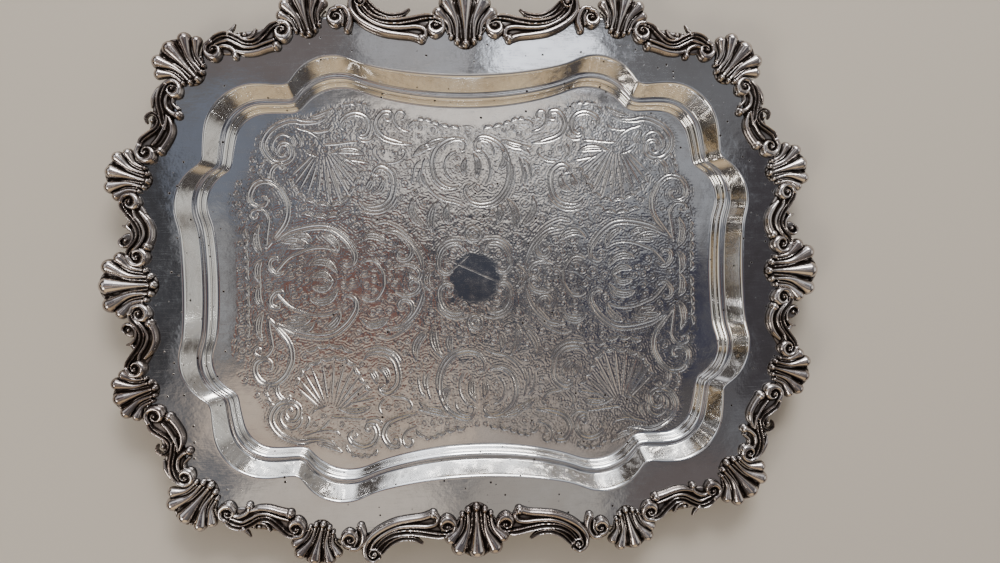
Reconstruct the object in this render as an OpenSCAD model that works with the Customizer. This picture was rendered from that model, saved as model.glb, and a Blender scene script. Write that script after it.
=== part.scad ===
// Oblong serving tray: one stamped sheet with a lobed, stepped well, and a border
// of shell and scroll castings soldered to its rim.
// The tray lies flat with +Z up. The origin is on the table under the middle of
// the well, X runs along the length and Y across the width.

/* [Tray] */
// Length over the tips of the two end shells
tray_length = 483; // [475:1:495]
// Width over the tips of the front and back shells
tray_width = 381; // [374:1:392]
// Height of the rim's upper face above the table
rim_height = 22.5; // [20:0.5:26]
// Thickness of the stamped sheet
sheet = 1.2; // [0.8:0.1:1.6]

/* [Well wall] */
// Radius where the rim turns down into the well
shoulder_r = 2.4; // [1.8:0.1:2.6]
// Radius of the round moulding low in the wall
roll_r = 3.6; // [3:0.1:3.8]
// Radius of the hollow where the wall meets the floor
toe_r = 2.8; // [2:0.1:3]

/* [Border castings] */
// Length of the four centre shells
centre_shell = 38; // [34:1:38]
// Length of the eight side shells, relative to a centre shell
side_shell_scale = 0.8; // [0.7:0.01:0.82]
// Length of the corner shells, relative to a centre shell
corner_shell_scale = 0.9; // [0.8:0.01:0.92]
// Height of the shells above the rim
shell_relief = 6.5; // [5:0.5:8]
// Height of the scrolls above the rim
scroll_relief = 5; // [4:0.5:6.5]

/* [Hidden] */
QUARTERS = ["front_left", "front_right", "back_left", "back_right"];
QUARTER_KINDS = ["shell_long", "shell_corner", "shell_end", "scroll_leaf", "scroll_link",
                 "scroll_long", "scroll_corner", "scroll_end"];
SIDES = ["front", "back", "left", "right"];

SILVER = [0.78, 0.77, 0.75];
CAST_SILVER = [0.62, 0.60, 0.58];

// The outlines below are drawn for a tray of this size and stretched to the one asked for.
drawn_length = 483;
drawn_width = 381;
stretch = [tray_length / drawn_length, tray_width / drawn_width];
half_length = tray_length / 2;
half_width = tray_width / 2;

// ---- curves ----

// Centre of the circle through three points
function circle_centre(a, b, c) =
    let (ab = b - a, ac = c - a, d = 2 * (ab.x * ac.y - ab.y * ac.x))
    a + [ac.y * ab * ab - ab.y * ac * ac, ab.x * ac * ac - ac.x * ab * ab] / d;

function turn_between(from_angle, to_angle) =
    let (turn = to_angle - from_angle)
    turn > 180 ? turn - 360 : turn < -180 ? turn + 360 : turn;

// Points of the arc from a through b to c, without c itself
function arc_through(a, b, c, steps) =
    let (
        centre = circle_centre(a, b, c),
        radius = norm(a - centre),
        start = atan2(a.y - centre.y, a.x - centre.x),
        middle = atan2(b.y - centre.y, b.x - centre.x),
        end = atan2(c.y - centre.y, c.x - centre.x),
        turn = turn_between(start, middle) + turn_between(middle, end)
    )
    [for (i = [0 : steps - 1]) let (t = start + turn * i / steps) centre + radius * [cos(t), sin(t)]];

function arc_points(centre, radius, from_angle, to_angle, steps) =
    [for (i = [0 : steps]) let (t = from_angle + (to_angle - from_angle) * i / steps)
        centre + radius * [cos(t), sin(t)]];

function smooth_point(a, b, c, d, t) =
    0.5 * (2 * b + (c - a) * t + (2 * a - 5 * b + 4 * c - d) * t * t + (3 * b - a - 3 * c + d) * t * t * t);

// A smooth curve through every point of a path
function smooth(path, steps = 4) =
    let (last = len(path) - 1)
    concat([for (i = [0 : last - 1]) for (k = [0 : steps - 1])
        smooth_point(path[max(i - 1, 0)], path[i], path[i + 1], path[min(i + 2, last)], k / steps)],
        [path[last]]);

// A spiral from its eye outwards. It ends at end_angle, and turns with the hand, 1 or -1.
function spiral(centre, radius, end_angle, hand, turns = 1.25, eye = 1.4) =
    let (steps = round(turns * 8))
    [for (i = [0 : steps]) let (t = i / steps, angle = end_angle - hand * 360 * turns * (1 - t))
        centre + (eye + (radius - eye) * t) * [cos(angle), sin(angle)]];

function reversed(path) = [for (i = [len(path) - 1 : -1 : 0]) path[i]];

// ---- the sheet ----

// One quarter of each outline, as arcs of [from, through, to, steps] from +X round to +Y
WELL_TOP = [
    [[189, 0], [189.3, 18], [190.3, 36], 3],
    [[190.3, 36], [193.4, 52], [173.6, 79.4], 8],
    [[173.6, 79.4], [173.8, 88], [173.2, 96], 2],
    [[173.2, 96], [162.9, 120.9], [138, 131.2], 7],
    [[138, 131.2], [128, 130.6], [117.3, 128.7], 2],
    [[117.3, 128.7], [91, 149.5], [69.5, 143.4], 8],
    [[69.5, 143.4], [35, 137.8], [0, 136], 4],
];
WELL_FLOOR = [
    [[171, 0], [171.6, 20], [173.5, 40], 3],
    [[173.5, 40], [177.2, 53], [160, 76.5], 8],
    [[160, 76.5], [159.4, 86], [157.5, 94], 2],
    [[157.5, 94], [151.5, 107.5], [138, 114.4], 7],
    [[138, 114.4], [127, 114.6], [115, 113.5], 2],
    [[115, 113.5], [89, 131.3], [68, 127], 8],
    [[68, 127], [35, 119.5], [0, 117.2], 4],
];
RIM_EDGE = [
    [[219, 0], [217, 20], [216, 40], 3],
    [[216, 40], [220, 62], [209, 88], 8],
    [[209, 88], [203.6, 96], [199, 105], 2],
    [[199, 105], [184, 141], [157, 153.6], 7],
    [[157, 153.6], [146, 155.6], [135, 159.6], 2],
    [[135, 159.6], [100, 173.5], [70, 170], 8],
    [[70, 170], [35, 167.5], [0, 168.5], 4],
];

function quarter_outline(arcs) = [for (a = arcs) each arc_through(a[0], a[1], a[2], a[3])];

function mirrored_x(path) = [for (p = path) [-p.x, p.y]];

// The whole outline, counter-clockwise from +X
function outline(arcs) =
    let (
        quarter = quarter_outline(arcs),
        top = arcs[len(arcs) - 1][2],
        right_half = concat(quarter, [top]),
        left = mirrored_x([for (i = [len(quarter) - 1 : -1 : 1]) quarter[i]]),
        upper = concat(right_half, left),
        lower = [for (p = concat([[-quarter[0].x, 0]], [for (q = reversed(left)) q])) [p.x, -p.y]],
        lower_right = [for (i = [len(quarter) : -1 : 1]) [right_half[i].x, -right_half[i].y]]
    )
    [for (p = concat(upper, lower, lower_right)) [p.x * stretch.x, p.y * stretch.y]];

// Section of the wall's upper face as [distance inwards, height above the rim]
shoulder_end = 33;
roll_start = 125;
roll_end = 3;
wall_drop = rim_height - sheet;
shoulder_centre = [0.4, -shoulder_r];
roll_centre = [12, toe_r + roll_r - wall_drop - 0.7];
toe_centre = [roll_centre.x + roll_r + toe_r + 0.1, toe_r - wall_drop];
wall_section = concat(
    [[0, 0]],
    arc_points(shoulder_centre, shoulder_r, 90, shoulder_end, 4),
    arc_points(roll_centre, roll_r, roll_start, roll_end, 6),
    arc_points(toe_centre, toe_r, 180, 270, 4)
);
wall_width = wall_section[len(wall_section) - 1].x;

function unit(v) = v / norm(v);

// The same section one sheet thickness below
wall_underside = [for (i = [0 : len(wall_section) - 1])
    let (
        last = len(wall_section) - 1,
        along = i == 0 ? [1, 0] : i == last ? [1, 0] : unit(wall_section[i + 1] - wall_section[i - 1])
    )
    wall_section[i] + sheet * [along.y, -along.x]];

function blend_ring(outer, inner, share, height) =
    [for (i = [0 : len(outer) - 1])
        let (p = outer[i] + (inner[i] - outer[i]) * share)
        [p.x, p.y, height]];

function level(path, height) = [for (p = path) [p.x, p.y, height]];

// Triangles of a closed skin through rings of equal length, with a point at each end
function skin_faces(rings, count) =
    let (last = rings * count, first = last + 1)
    concat(
        [for (r = [0 : rings - 2]) for (i = [0 : count - 1])
            let (j = (i + 1) % count, a = r * count, b = a + count)
            each [[a + i, b + j, a + j], [a + i, b + i, b + j]]],
        [for (i = [0 : count - 1]) [last, i, (i + 1) % count]],
        [for (i = [0 : count - 1]) let (a = (rings - 1) * count) [first, a + (i + 1) % count, a + i]]
    );

module tray_body() {
    well_top = outline(WELL_TOP);
    well_floor = outline(WELL_FLOOR);
    rim_edge = outline(RIM_EDGE);
    underside = [for (i = [len(wall_underside) - 1 : -2 : 0]) let (s = wall_underside[i])
        blend_ring(well_top, well_floor, s.x / wall_width, rim_height + s.y)];
    upper_face = [for (s = wall_section)
        blend_ring(well_top, well_floor, s.x / wall_width, rim_height + s.y)];
    rings = concat(underside, [level(rim_edge, rim_height - sheet)], [level(rim_edge, rim_height)], upper_face);
    count = len(well_top);
    points = concat([for (ring = rings) each ring], [[0, 0, 0]], [[0, 0, sheet]]);
    color(SILVER) polyhedron(points, skin_faces(len(rings), count), convexity = 6);
}

// ---- castings: shared pieces, drawn on the plane z = 0, which is the rim's upper face ----

base_share = 0.5;
crown_sink = 0.3;
seam_margin = 0.02;

// A low plate in the first child's outline, with the second child's outline standing out of it
module relief(height) {
    linear_extrude(height * base_share) offset(delta = seam_margin) children(0);
    translate([0, 0, crown_sink])
        linear_extrude(height - crown_sink) offset(delta = seam_margin) children(1);
}

// The outline of a strip along a path, from one width to another
function strip(path, start_width, end_width, power = 1) =
    let (
        last = len(path) - 1,
        sides = [for (i = [0 : last])
            let (along = unit(path[min(i + 1, last)] - path[max(i - 1, 0)]))
            [-along.y, along.x] * (start_width + (end_width - start_width) * pow(i / last, power)) / 2]
    )
    concat([for (i = [0 : last]) path[i] + sides[i]], [for (i = [last : -1 : 0]) path[i] - sides[i]]);

module disc(centre, radius) {
    translate(centre) circle(r = radius, $fn = 16);
}

// A round knob on the rim whose top is at the height
module knob(centre, radius, height) {
    translate([centre.x, centre.y, crown_sink])
        rotate_extrude($fn = 32)
            intersection() {
                union() {
                    translate([0, height - crown_sink - radius]) circle(r = radius, $fn = 32);
                    square([radius, max(height - crown_sink - radius, 0.1)]);
                }
                square([radius, height]);
            }
}

// ---- shells ----

// Five ribs as [bead place, bend place, ball place, ball radius], on a shell 38 long
drawn_shell = 38;
SHELL_RIBS = [
    [[2, 0], [18, 0], [32.8, 0], 5.2],
    [[4.4, 5.4], [18, 6], [29, 12.2], 4.4],
    [[4.4, -5.4], [18, -6], [29, -12.2], 4.4],
    [[7.6, 9.6], [17, 11], [22, 18.2], 3.2],
    [[7.6, -9.6], [17, -11], [22, -18.2], 3.2],
];
SHELL_FAN = [
    [1, 0], [4, 7.6], [8, 10.8], [15, 12], [20.6, 19], [26, 13],
    [31, 0], [26, -13], [20.6, -19], [15, -12], [8, -10.8], [4, -7.6],
];
rib_start = 2.4;
bead_radius = 2;
bead_height = 0.75;
ball_height = 0.9;
rib_height = 0.8;

// A fan of ribs that starts at the origin and opens along +X
module shell(scale_by) {
    size_by = scale_by * centre_shell / drawn_shell;
    height = shell_relief * (0.4 + 0.6 * scale_by);
    color(CAST_SILVER) {
        relief(height * rib_height) {
            union() {
                polygon(size_by * SHELL_FAN);
                for (rib = SHELL_RIBS) {
                    disc(size_by * rib[0], size_by * bead_radius);
                    disc(size_by * rib[2], size_by * rib[3]);
                }
            }
            for (rib = SHELL_RIBS) {
                path = smooth(size_by * [rib[0], (rib[0] + rib[1]) / 2, rib[1], rib[2]], 3);
                polygon(strip(path, size_by * rib_start, size_by * rib[3] * 1.5, 1.5));
            }
        }
        for (rib = SHELL_RIBS) {
            share = rib[3] / SHELL_RIBS[0][3];
            knob(size_by * rib[0], size_by * bead_radius * 0.9, height * bead_height);
            knob(size_by * rib[2], size_by * rib[3] * 0.8, height * (ball_height + 0.1 * share));
        }
    }
}

// ---- scrolls ----

volute_r = 4.6;
volute_rim = 5.8;
volute_eye = 1.8;
band_width = 2.4;
coil_tip_width = 1;

// An S-shaped scroll between two shells. Its first coil is at the origin, its second is
// on +X at the span, and +Y is the tray's outer side.
module s_scroll(span) {
    first_coil = spiral([0, 0], volute_r, 90, -1);
    last_coil = reversed(spiral([span, 0], volute_r, 90, 1));
    middle = [for (p = [[0.16, 4.8], [0.31, 2.4], [0.46, -0.6], [0.62, 0.2], [0.8, 3.2]]) [p.x * span, p.y]];
    first_half = smooth(concat([first_coil[len(first_coil) - 1]], [middle[0], middle[1], middle[2]]), 4);
    last_half = smooth(concat([middle[2], middle[3], middle[4]], [last_coil[0]]), 4);
    inner = smooth([for (p = [[0.13, -6.6], [0.3, -7.2], [0.48, -7.4], [0.62, -5.4]]) [p.x * span, p.y]]);
    outer_curl = [0.43 * span, 5];
    inner_curl = [0.74 * span, -7];
    body = smooth([for (p = [[0.04, -0.5], [0.3, -2.6], [0.48, -3.4], [0.7, -1.6], [0.96, -0.5]])
        [p.x * span, p.y]]);
    color(CAST_SILVER) {
        relief(scroll_relief * 0.9) {
            union() {
                polygon(strip(body, 9, 9));
                disc([0, 0], volute_rim);
                disc([span, 0], volute_rim);
                disc(outer_curl, 3.4);
                disc(inner_curl, 2.8);
            }
            union() {
                polygon(strip(first_coil, coil_tip_width, 1.6));
                polygon(strip(first_half, 1.6, band_width));
                polygon(strip(last_half, band_width, 1.6));
                polygon(strip(last_coil, 1.6, coil_tip_width));
                polygon(strip(inner, 2.4, 3.4));
            }
        }
        knob([0, 0], volute_eye, scroll_relief);
        knob([span, 0], volute_eye, scroll_relief);
        knob(outer_curl, 2, scroll_relief * 0.94);
        knob(inner_curl, 2.2, scroll_relief * 0.94);
    }
}

// The long leaf from a centre shell's coil to its own coiled tip
module leaf_scroll() {
    first_coil = [21.8, 163.6];
    last_coil = [69.4, 183.4];
    veins = [
        [[38, 161], [45, 161.6], [56, 162.4], [64, 165.4], [69.6, 171.6], [72, 179]],
        [[31, 167], [43, 167.2], [56, 167], [63.6, 170.4], [67.8, 177]],
        [[37, 178], [42, 175], [50, 174.2], [57, 175.6], [63, 180]],
    ];
    hook = [30.2, 161.4];
    coil = spiral(first_coil, volute_r, 90, -1);
    stem = smooth([coil[len(coil) - 1], [29, 170.4], [37, 171.6], [47, 170.6], [57, 171.2], [64, 175.4]]);
    body = smooth([[24, 165.4], [38, 166.4], [52, 167.6], [62, 171.6], [68, 179]]);
    color(CAST_SILVER) {
        relief(scroll_relief * 0.9) {
            union() {
                polygon(strip(body, 10, 12));
                polygon(strip(smooth(veins[2]), 2.6, 6));
                disc(first_coil, volute_rim);
                disc(last_coil, volute_rim);
                disc(hook, 3.6);
            }
            union() {
                polygon(strip(coil, coil_tip_width, 1.6));
                polygon(strip(stem, 1.6, band_width));
                for (vein = veins) {
                    polygon(strip(smooth(vein), 1.6, band_width));
                }
            }
        }
        knob(first_coil, volute_eye, scroll_relief);
        knob(last_coil, volute_eye, scroll_relief);
        knob(hook, 2.2, scroll_relief * 0.94);
    }
}

// The short C-shaped scroll between the leaf and the next shell
module link_scroll() {
    centre = [84.6, 174.8];
    hook = [78.4, 165.8];
    coil = spiral(centre, 3.6, 90, 1);
    stem = smooth([coil[len(coil) - 1], [80.2, 178.6], [77, 174.8], [76.4, 170], [77.6, 166.2]]);
    color(CAST_SILVER) {
        relief(scroll_relief * 0.9) {
            union() {
                disc(centre, 4.6);
                polygon(strip(stem, 2.8, 2.8));
                disc(hook, 2.6);
                disc([80, 171], 3);
            }
            union() {
                polygon(strip(coil, 0.9, 1.4));
                polygon(strip(stem, 1.4, 1.8));
            }
        }
        knob(centre, 1.6, scroll_relief);
        knob(hook, 2, scroll_relief * 0.94);
    }
}

// ---- places ----

// Places and directions for the back right quarter, on the tray as drawn
SHELL_LONG = [[101.5, 159.8], 74];
SHELL_CORNER = [[172.4, 130.6], 49];
SHELL_END = [[205.4, 66.5], 16];
SCROLL_LONG = [[121, 162.6], [162.4, 151.2]];
SCROLL_CORNER = [[207.6, 86.8], [190.8, 124.4]];
SCROLL_END = [[214.6, 21.6], [218.6, 50]];

function stretched(p) = [p.x * stretch.x, p.y * stretch.y, rim_height];

module at_shell(place) {
    translate(stretched(place[0])) rotate(place[1]) children();
}

// From one coil's place towards the other's. The tray's outer side comes out on +Y.
module at_scroll(ends, outer_left) {
    along = ends[1] - ends[0];
    translate(stretched(ends[0]))
        rotate(atan2(along.y, along.x))
            mirror([0, outer_left ? 0 : 1, 0])
                children();
}

// A casting of the back right quarter, by its kind
module quarter_casting(kind) {
    if (kind == "shell_long") {
        at_shell(SHELL_LONG) shell(side_shell_scale);
    }
    if (kind == "shell_corner") {
        at_shell(SHELL_CORNER) shell(corner_shell_scale);
    }
    if (kind == "shell_end") {
        at_shell(SHELL_END) shell(side_shell_scale);
    }
    if (kind == "scroll_leaf") {
        translate(stretched([0, 0])) leaf_scroll();
    }
    if (kind == "scroll_link") {
        translate(stretched([0, 0])) link_scroll();
    }
    if (kind == "scroll_long") {
        at_scroll(SCROLL_LONG, true) s_scroll(norm(SCROLL_LONG[1] - SCROLL_LONG[0]));
    }
    if (kind == "scroll_corner") {
        at_scroll(SCROLL_CORNER, false) s_scroll(norm(SCROLL_CORNER[1] - SCROLL_CORNER[0]));
    }
    if (kind == "scroll_end") {
        at_scroll(SCROLL_END, false) s_scroll(norm(SCROLL_END[1] - SCROLL_END[0]));
    }
}

// Carries a casting from the back right quarter into the named one
module in_quarter(quarter) {
    left = quarter == "front_left" || quarter == "back_left";
    front = quarter == "front_left" || quarter == "front_right";
    mirror([left ? 1 : 0, 0, 0]) mirror([0, front ? 1 : 0, 0]) children();
}

module side_shell(side) {
    angle = side == "front" ? 270 : side == "back" ? 90 : side == "left" ? 180 : 0;
    reach = (side == "left" || side == "right" ? half_length : half_width) - centre_shell;
    translate([0, 0, rim_height]) rotate(angle) translate([reach, 0, 0]) shell(1);
}

tray_body();

for (side = SIDES) {
    side_shell(side);
}

for (kind = QUARTER_KINDS) {
    for (quarter = QUARTERS) {
        in_quarter(quarter) quarter_casting(kind);
    }
}
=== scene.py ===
import math

import bpy
import numpy as np
from mathutils import Matrix, Vector


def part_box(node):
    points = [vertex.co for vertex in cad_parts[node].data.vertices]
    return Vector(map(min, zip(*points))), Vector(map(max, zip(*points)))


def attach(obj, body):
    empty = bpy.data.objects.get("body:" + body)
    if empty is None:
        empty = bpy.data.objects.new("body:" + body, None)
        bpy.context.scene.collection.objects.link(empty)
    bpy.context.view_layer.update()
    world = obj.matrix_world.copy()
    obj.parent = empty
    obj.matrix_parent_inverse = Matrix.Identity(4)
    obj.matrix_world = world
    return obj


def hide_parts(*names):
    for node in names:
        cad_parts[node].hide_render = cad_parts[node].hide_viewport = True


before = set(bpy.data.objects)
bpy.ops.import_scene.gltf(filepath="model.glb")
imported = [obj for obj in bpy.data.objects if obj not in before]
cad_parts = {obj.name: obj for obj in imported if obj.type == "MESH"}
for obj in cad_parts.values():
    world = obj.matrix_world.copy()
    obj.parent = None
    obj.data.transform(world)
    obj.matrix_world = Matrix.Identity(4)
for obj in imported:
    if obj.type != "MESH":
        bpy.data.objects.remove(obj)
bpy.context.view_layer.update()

# Shapes are worked out in millimetres and become metres when their meshes are made.
MM = 0.001
# Thickness of the stamped sheet
SHEET = 1.2
RIM_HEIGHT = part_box("tray_body")[1][2] / MM


# ---- curves ----

def wrapped(angle):
    return (angle + math.pi) % (2 * math.pi) - math.pi


def polar(radius, degrees):
    turn = np.radians(degrees)
    return np.stack([radius * np.cos(turn), radius * np.sin(turn)], -1)


def arc_through(a, b, c, steps):
    """Points of the arc from a through b to c, without c itself."""
    a, b, c = (np.array(p, float) for p in (a, b, c))
    ab, ac = b - a, c - a
    cross = 2 * (ab[0] * ac[1] - ab[1] * ac[0])
    bb, cc = ab @ ab, ac @ ac
    centre = a + np.array([ac[1] * bb - ab[1] * cc, ab[0] * cc - ac[0] * bb]) / cross
    start, middle, end = (math.atan2(p[1] - centre[1], p[0] - centre[0]) for p in (a, b, c))
    turn = wrapped(middle - start) + wrapped(end - middle)
    angles = start + turn * np.arange(steps) / steps
    return centre + np.hypot(*(a - centre)) * np.stack([np.cos(angles), np.sin(angles)], 1)


def smooth(points, step=0.8):
    """A smooth curve through every point, sampled about every step millimetres."""
    p = np.array(points, float)
    p = np.vstack([2 * p[0] - p[1], p, 2 * p[-1] - p[-2]])
    spans = []
    for a, b, c, d in zip(p, p[1:], p[2:], p[3:]):
        count = max(2, round(np.hypot(*(c - b)) / step))
        t = (np.arange(count) / count)[:, None]
        spans.append(0.5 * (2 * b + (c - a) * t + (2 * a - 5 * b + 4 * c - d) * t ** 2
                            + (3 * b - a - 3 * c + d) * t ** 3))
    return np.vstack(spans + [p[-2:-1]])


def spiral(centre, radius, start, turns, hand=1, eye=0.6):
    """A spiral that winds in from the radius at the start angle to its eye."""
    share = np.linspace(0, 1, max(8, int(abs(turns) * 18)))
    return np.array(centre) + polar(radius + (eye - radius) * share, start + hand * 360 * turns * share)


def normals(path):
    """Unit vectors to the left of a path, one for each point."""
    along = np.gradient(path, axis=0)
    along /= np.hypot(along[:, 0], along[:, 1])[:, None] + 1e-9
    return np.stack([-along[:, 1], along[:, 0]], 1)


def beside(path, gap):
    """The line beside a path, gap to its left, which comes back to the path at both ends."""
    share = np.linspace(0, 1, len(path))
    swell = np.minimum(1, 5 * np.minimum(share, 1 - share))
    return path + normals(path) * (gap * swell)[:, None]


def nearest_on(path, x, y):
    """Distance from each place to a path, and how far along the path (0 to 1) its nearest point is."""
    path = np.atleast_2d(path)
    if len(path) == 1:
        return np.hypot(x - path[0, 0], y - path[0, 1]), np.zeros_like(x)
    spans = np.diff(path, axis=0)
    lengths = np.hypot(spans[:, 0], spans[:, 1]) + 1e-9
    starts = np.concatenate([[0], np.cumsum(lengths)])
    best, along = np.full(x.shape, 1e9), np.zeros(x.shape)
    for (px, py), (dx, dy), length, start in zip(path, spans, lengths, starts):
        t = np.clip(((x - px) * dx + (y - py) * dy) / length ** 2, 0, 1)
        distance = np.hypot(x - px - t * dx, y - py - t * dy)
        closer = distance < best
        best = np.where(closer, distance, best)
        along = np.where(closer, (start + t * length) / starts[-1], along)
    return best, along


# ---- outlines of the sheet, one quarter each: a start, then arcs (through, to, steps) ----

WELL_TOP = (
    (189, 0),
    ((189.3, 18), (190.3, 36), 3),
    ((193.4, 52), (173.6, 79.4), 8),
    ((173.8, 88), (173.2, 96), 2),
    ((162.9, 120.9), (138, 131.2), 7),
    ((128, 130.6), (117.3, 128.7), 2),
    ((91, 149.5), (69.5, 143.4), 8),
    ((35, 137.8), (0, 136), 4),
)
WELL_FLOOR = (
    (171, 0),
    ((171.6, 20), (173.5, 40), 3),
    ((177.2, 53), (160, 76.5), 8),
    ((159.4, 86), (157.5, 94), 2),
    ((151.5, 107.5), (138, 114.4), 7),
    ((127, 114.6), (115, 113.5), 2),
    ((89, 131.3), (68, 127), 8),
    ((35, 119.5), (0, 117.2), 4),
)
RIM_EDGE = (
    (219, 0),
    ((217, 20), (216, 40), 3),
    ((220, 62), (209, 88), 8),
    ((203.6, 96), (199, 105), 2),
    ((184, 141), (157, 153.6), 7),
    ((146, 155.6), (135, 159.6), 2),
    ((100, 173.5), (70, 170), 8),
    ((35, 167.5), (0, 168.5), 4),
)
# Points to each step of an arc, and how often the whole outline is smoothed
ARC_STEPS = 5
CORNER_PASSES = 14


def outline(start, *arcs):
    """The whole closed outline, counter-clockwise from +X, with its corners a little rounded."""
    quarter = []
    for through, end, steps in arcs:
        quarter.append(arc_through(start, through, end, steps * ARC_STEPS))
        start = end
    quarter = np.vstack([*quarter, start])
    upper = np.vstack([quarter, quarter[-2::-1] * (-1, 1)])
    ring_points = np.vstack([upper, upper[-2:0:-1] * (1, -1)])
    for _ in range(CORNER_PASSES):
        ring_points = (np.roll(ring_points, 1, 0) + 2 * ring_points + np.roll(ring_points, -1, 0)) / 4
    return ring_points


well_top = outline(*WELL_TOP)
well_floor = outline(*WELL_FLOOR)
rim_edge = outline(*RIM_EDGE)


# ---- meshes ----

# Degrees between two faces from which their edge is drawn sharp
SHARP_ANGLE = 62


def new_mesh(name, points, quads, polygons=()):
    """A smooth-shaded mesh in metres, from points in millimetres."""
    mesh = bpy.data.meshes.new(name)
    sizes = np.concatenate([np.full(len(quads), 4), [len(p) for p in polygons]]).astype(int)
    corners = np.concatenate([np.asarray(quads).ravel(), *polygons]).astype(int)
    mesh.vertices.add(len(points))
    mesh.vertices.foreach_set("co", (np.asarray(points) * MM).ravel())
    mesh.loops.add(len(corners))
    mesh.loops.foreach_set("vertex_index", corners)
    mesh.polygons.add(len(sizes))
    mesh.polygons.foreach_set("loop_start", np.concatenate([[0], np.cumsum(sizes)[:-1]]))
    mesh.update(calc_edges=True)
    mesh.validate()
    mesh.shade_smooth()
    mesh.set_sharp_from_angle(angle=math.radians(SHARP_ANGLE))
    return mesh


def add_piece(name, mesh, material, node):
    piece = bpy.data.objects.new(name, mesh)
    bpy.context.scene.collection.objects.link(piece)
    mesh.materials.append(material)
    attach(piece, "root")
    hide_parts(node)
    return piece


def add_values(mesh, name, values):
    """A number for each vertex, which the materials read by name."""
    mesh.attributes.new(name, "FLOAT", "POINT").data.foreach_set("value", np.asarray(values, np.float32))


def filled_in(keep):
    """The kept cells without pinholes, notches one cell wide or cells that meet only at a corner."""
    for _ in range(4):
        padded = np.pad(keep, 1)
        around = (padded[:-2, 1:-1].astype(int) + padded[2:, 1:-1] + padded[1:-1, :-2] + padded[1:-1, 2:])
        keep = (keep | (around >= 3)) & (around >= 2)
        rising = keep[:-1, :-1] & keep[1:, 1:] & ~keep[1:, :-1] & ~keep[:-1, 1:]
        falling = ~keep[:-1, :-1] & ~keep[1:, 1:] & keep[1:, :-1] & keep[:-1, 1:]
        keep[1:, :-1] |= rising
        keep[:-1, :-1] |= falling
    return keep


def corners_of(keep):
    """Which grid corners the kept cells use, and which of those lie on the kept area's border."""
    padded = np.pad(keep, 1).astype(int)
    cells = padded[:-1, :-1] + padded[1:, :-1] + padded[:-1, 1:] + padded[1:, 1:]
    return cells > 0, (cells > 0) & (cells < 4)


def numbered(used, start=0):
    """The number of each used corner, counted from start."""
    number = np.full(used.shape, -1)
    number[used] = start + np.arange(used.sum())
    return number


def cell_quads(keep, number):
    i, j = np.nonzero(keep)
    return np.stack([number[i, j], number[i + 1, j], number[i + 1, j + 1], number[i, j + 1]], 1)


def border_loop(quads):
    """The corners round a patch of quads, counter-clockwise from above."""
    edges = np.concatenate([quads[:, [k, (k + 1) % 4]] for k in range(4)])
    key = edges.min(1) * (quads.max() + 1) + edges.max(1)
    _, first, count = np.unique(key, return_index=True, return_counts=True)
    follows = dict(edges[first[count == 1]].tolist())
    loop = [next(iter(follows))]
    while follows[loop[-1]] != loop[0]:
        loop.append(follows[loop[-1]])
    return np.array(loop)


# ---- node trees ----

def add(tree, kind, settings=(), **inputs):
    """A shader node. Inputs are sockets or values, by the socket's name with _ for each space."""
    made = tree.nodes.new("ShaderNode" + kind)
    for key, value in dict(settings).items():
        setattr(made, key, value)
    for key, value in inputs.items():
        socket = made.inputs[int(key[1:]) if key[1:].isdigit() else key.replace("_", " ")]
        if isinstance(value, bpy.types.NodeSocket):
            tree.links.new(value, socket)
        else:
            socket.default_value = value
    return made


def math_node(tree, operation, a, b=0.0, c=0.0):
    return add(tree, "Math", {"operation": operation}, i0=a, i1=b, i2=c).outputs[0]


def plus(tree, total, value, factor):
    """The total and a share of the value."""
    return math_node(tree, "MULTIPLY_ADD", value, factor, total)


def ranged(tree, value, low, high, to_low=0.0, to_high=1.0):
    return add(tree, "MapRange", {"interpolation_type": "SMOOTHSTEP"}, Value=value, From_Min=low,
               From_Max=high, To_Min=to_low, To_Max=to_high).outputs[0]


def mixed(tree, share, a, b):
    """A colour between a and b."""
    return add(tree, "Mix", {"data_type": "RGBA"}, i0=share, i6=a, i7=b).outputs[2]


def noise(tree, place, scale, detail, roughness=0.5):
    made = add(tree, "TexNoise", Vector=place, Scale=scale, Detail=detail, Roughness=roughness)
    return made.outputs["Fac"]


def streaks(tree, place, degrees, across, along):
    """Noise drawn out along one direction, for the hairlines that polishing leaves."""
    rotation, scale = (0, 0, math.radians(degrees)), (along, across, along)
    turned = add(tree, "Mapping", Vector=place, Rotation=rotation, Scale=scale)
    return noise(tree, turned.outputs[0], 1.0, 2.0)


# Pits in the plate: places to a metre that may have one, and the largest radius as a share of their spacing
PITS_PER_METRE = 190.0
PIT_SIZE = 0.15


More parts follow.
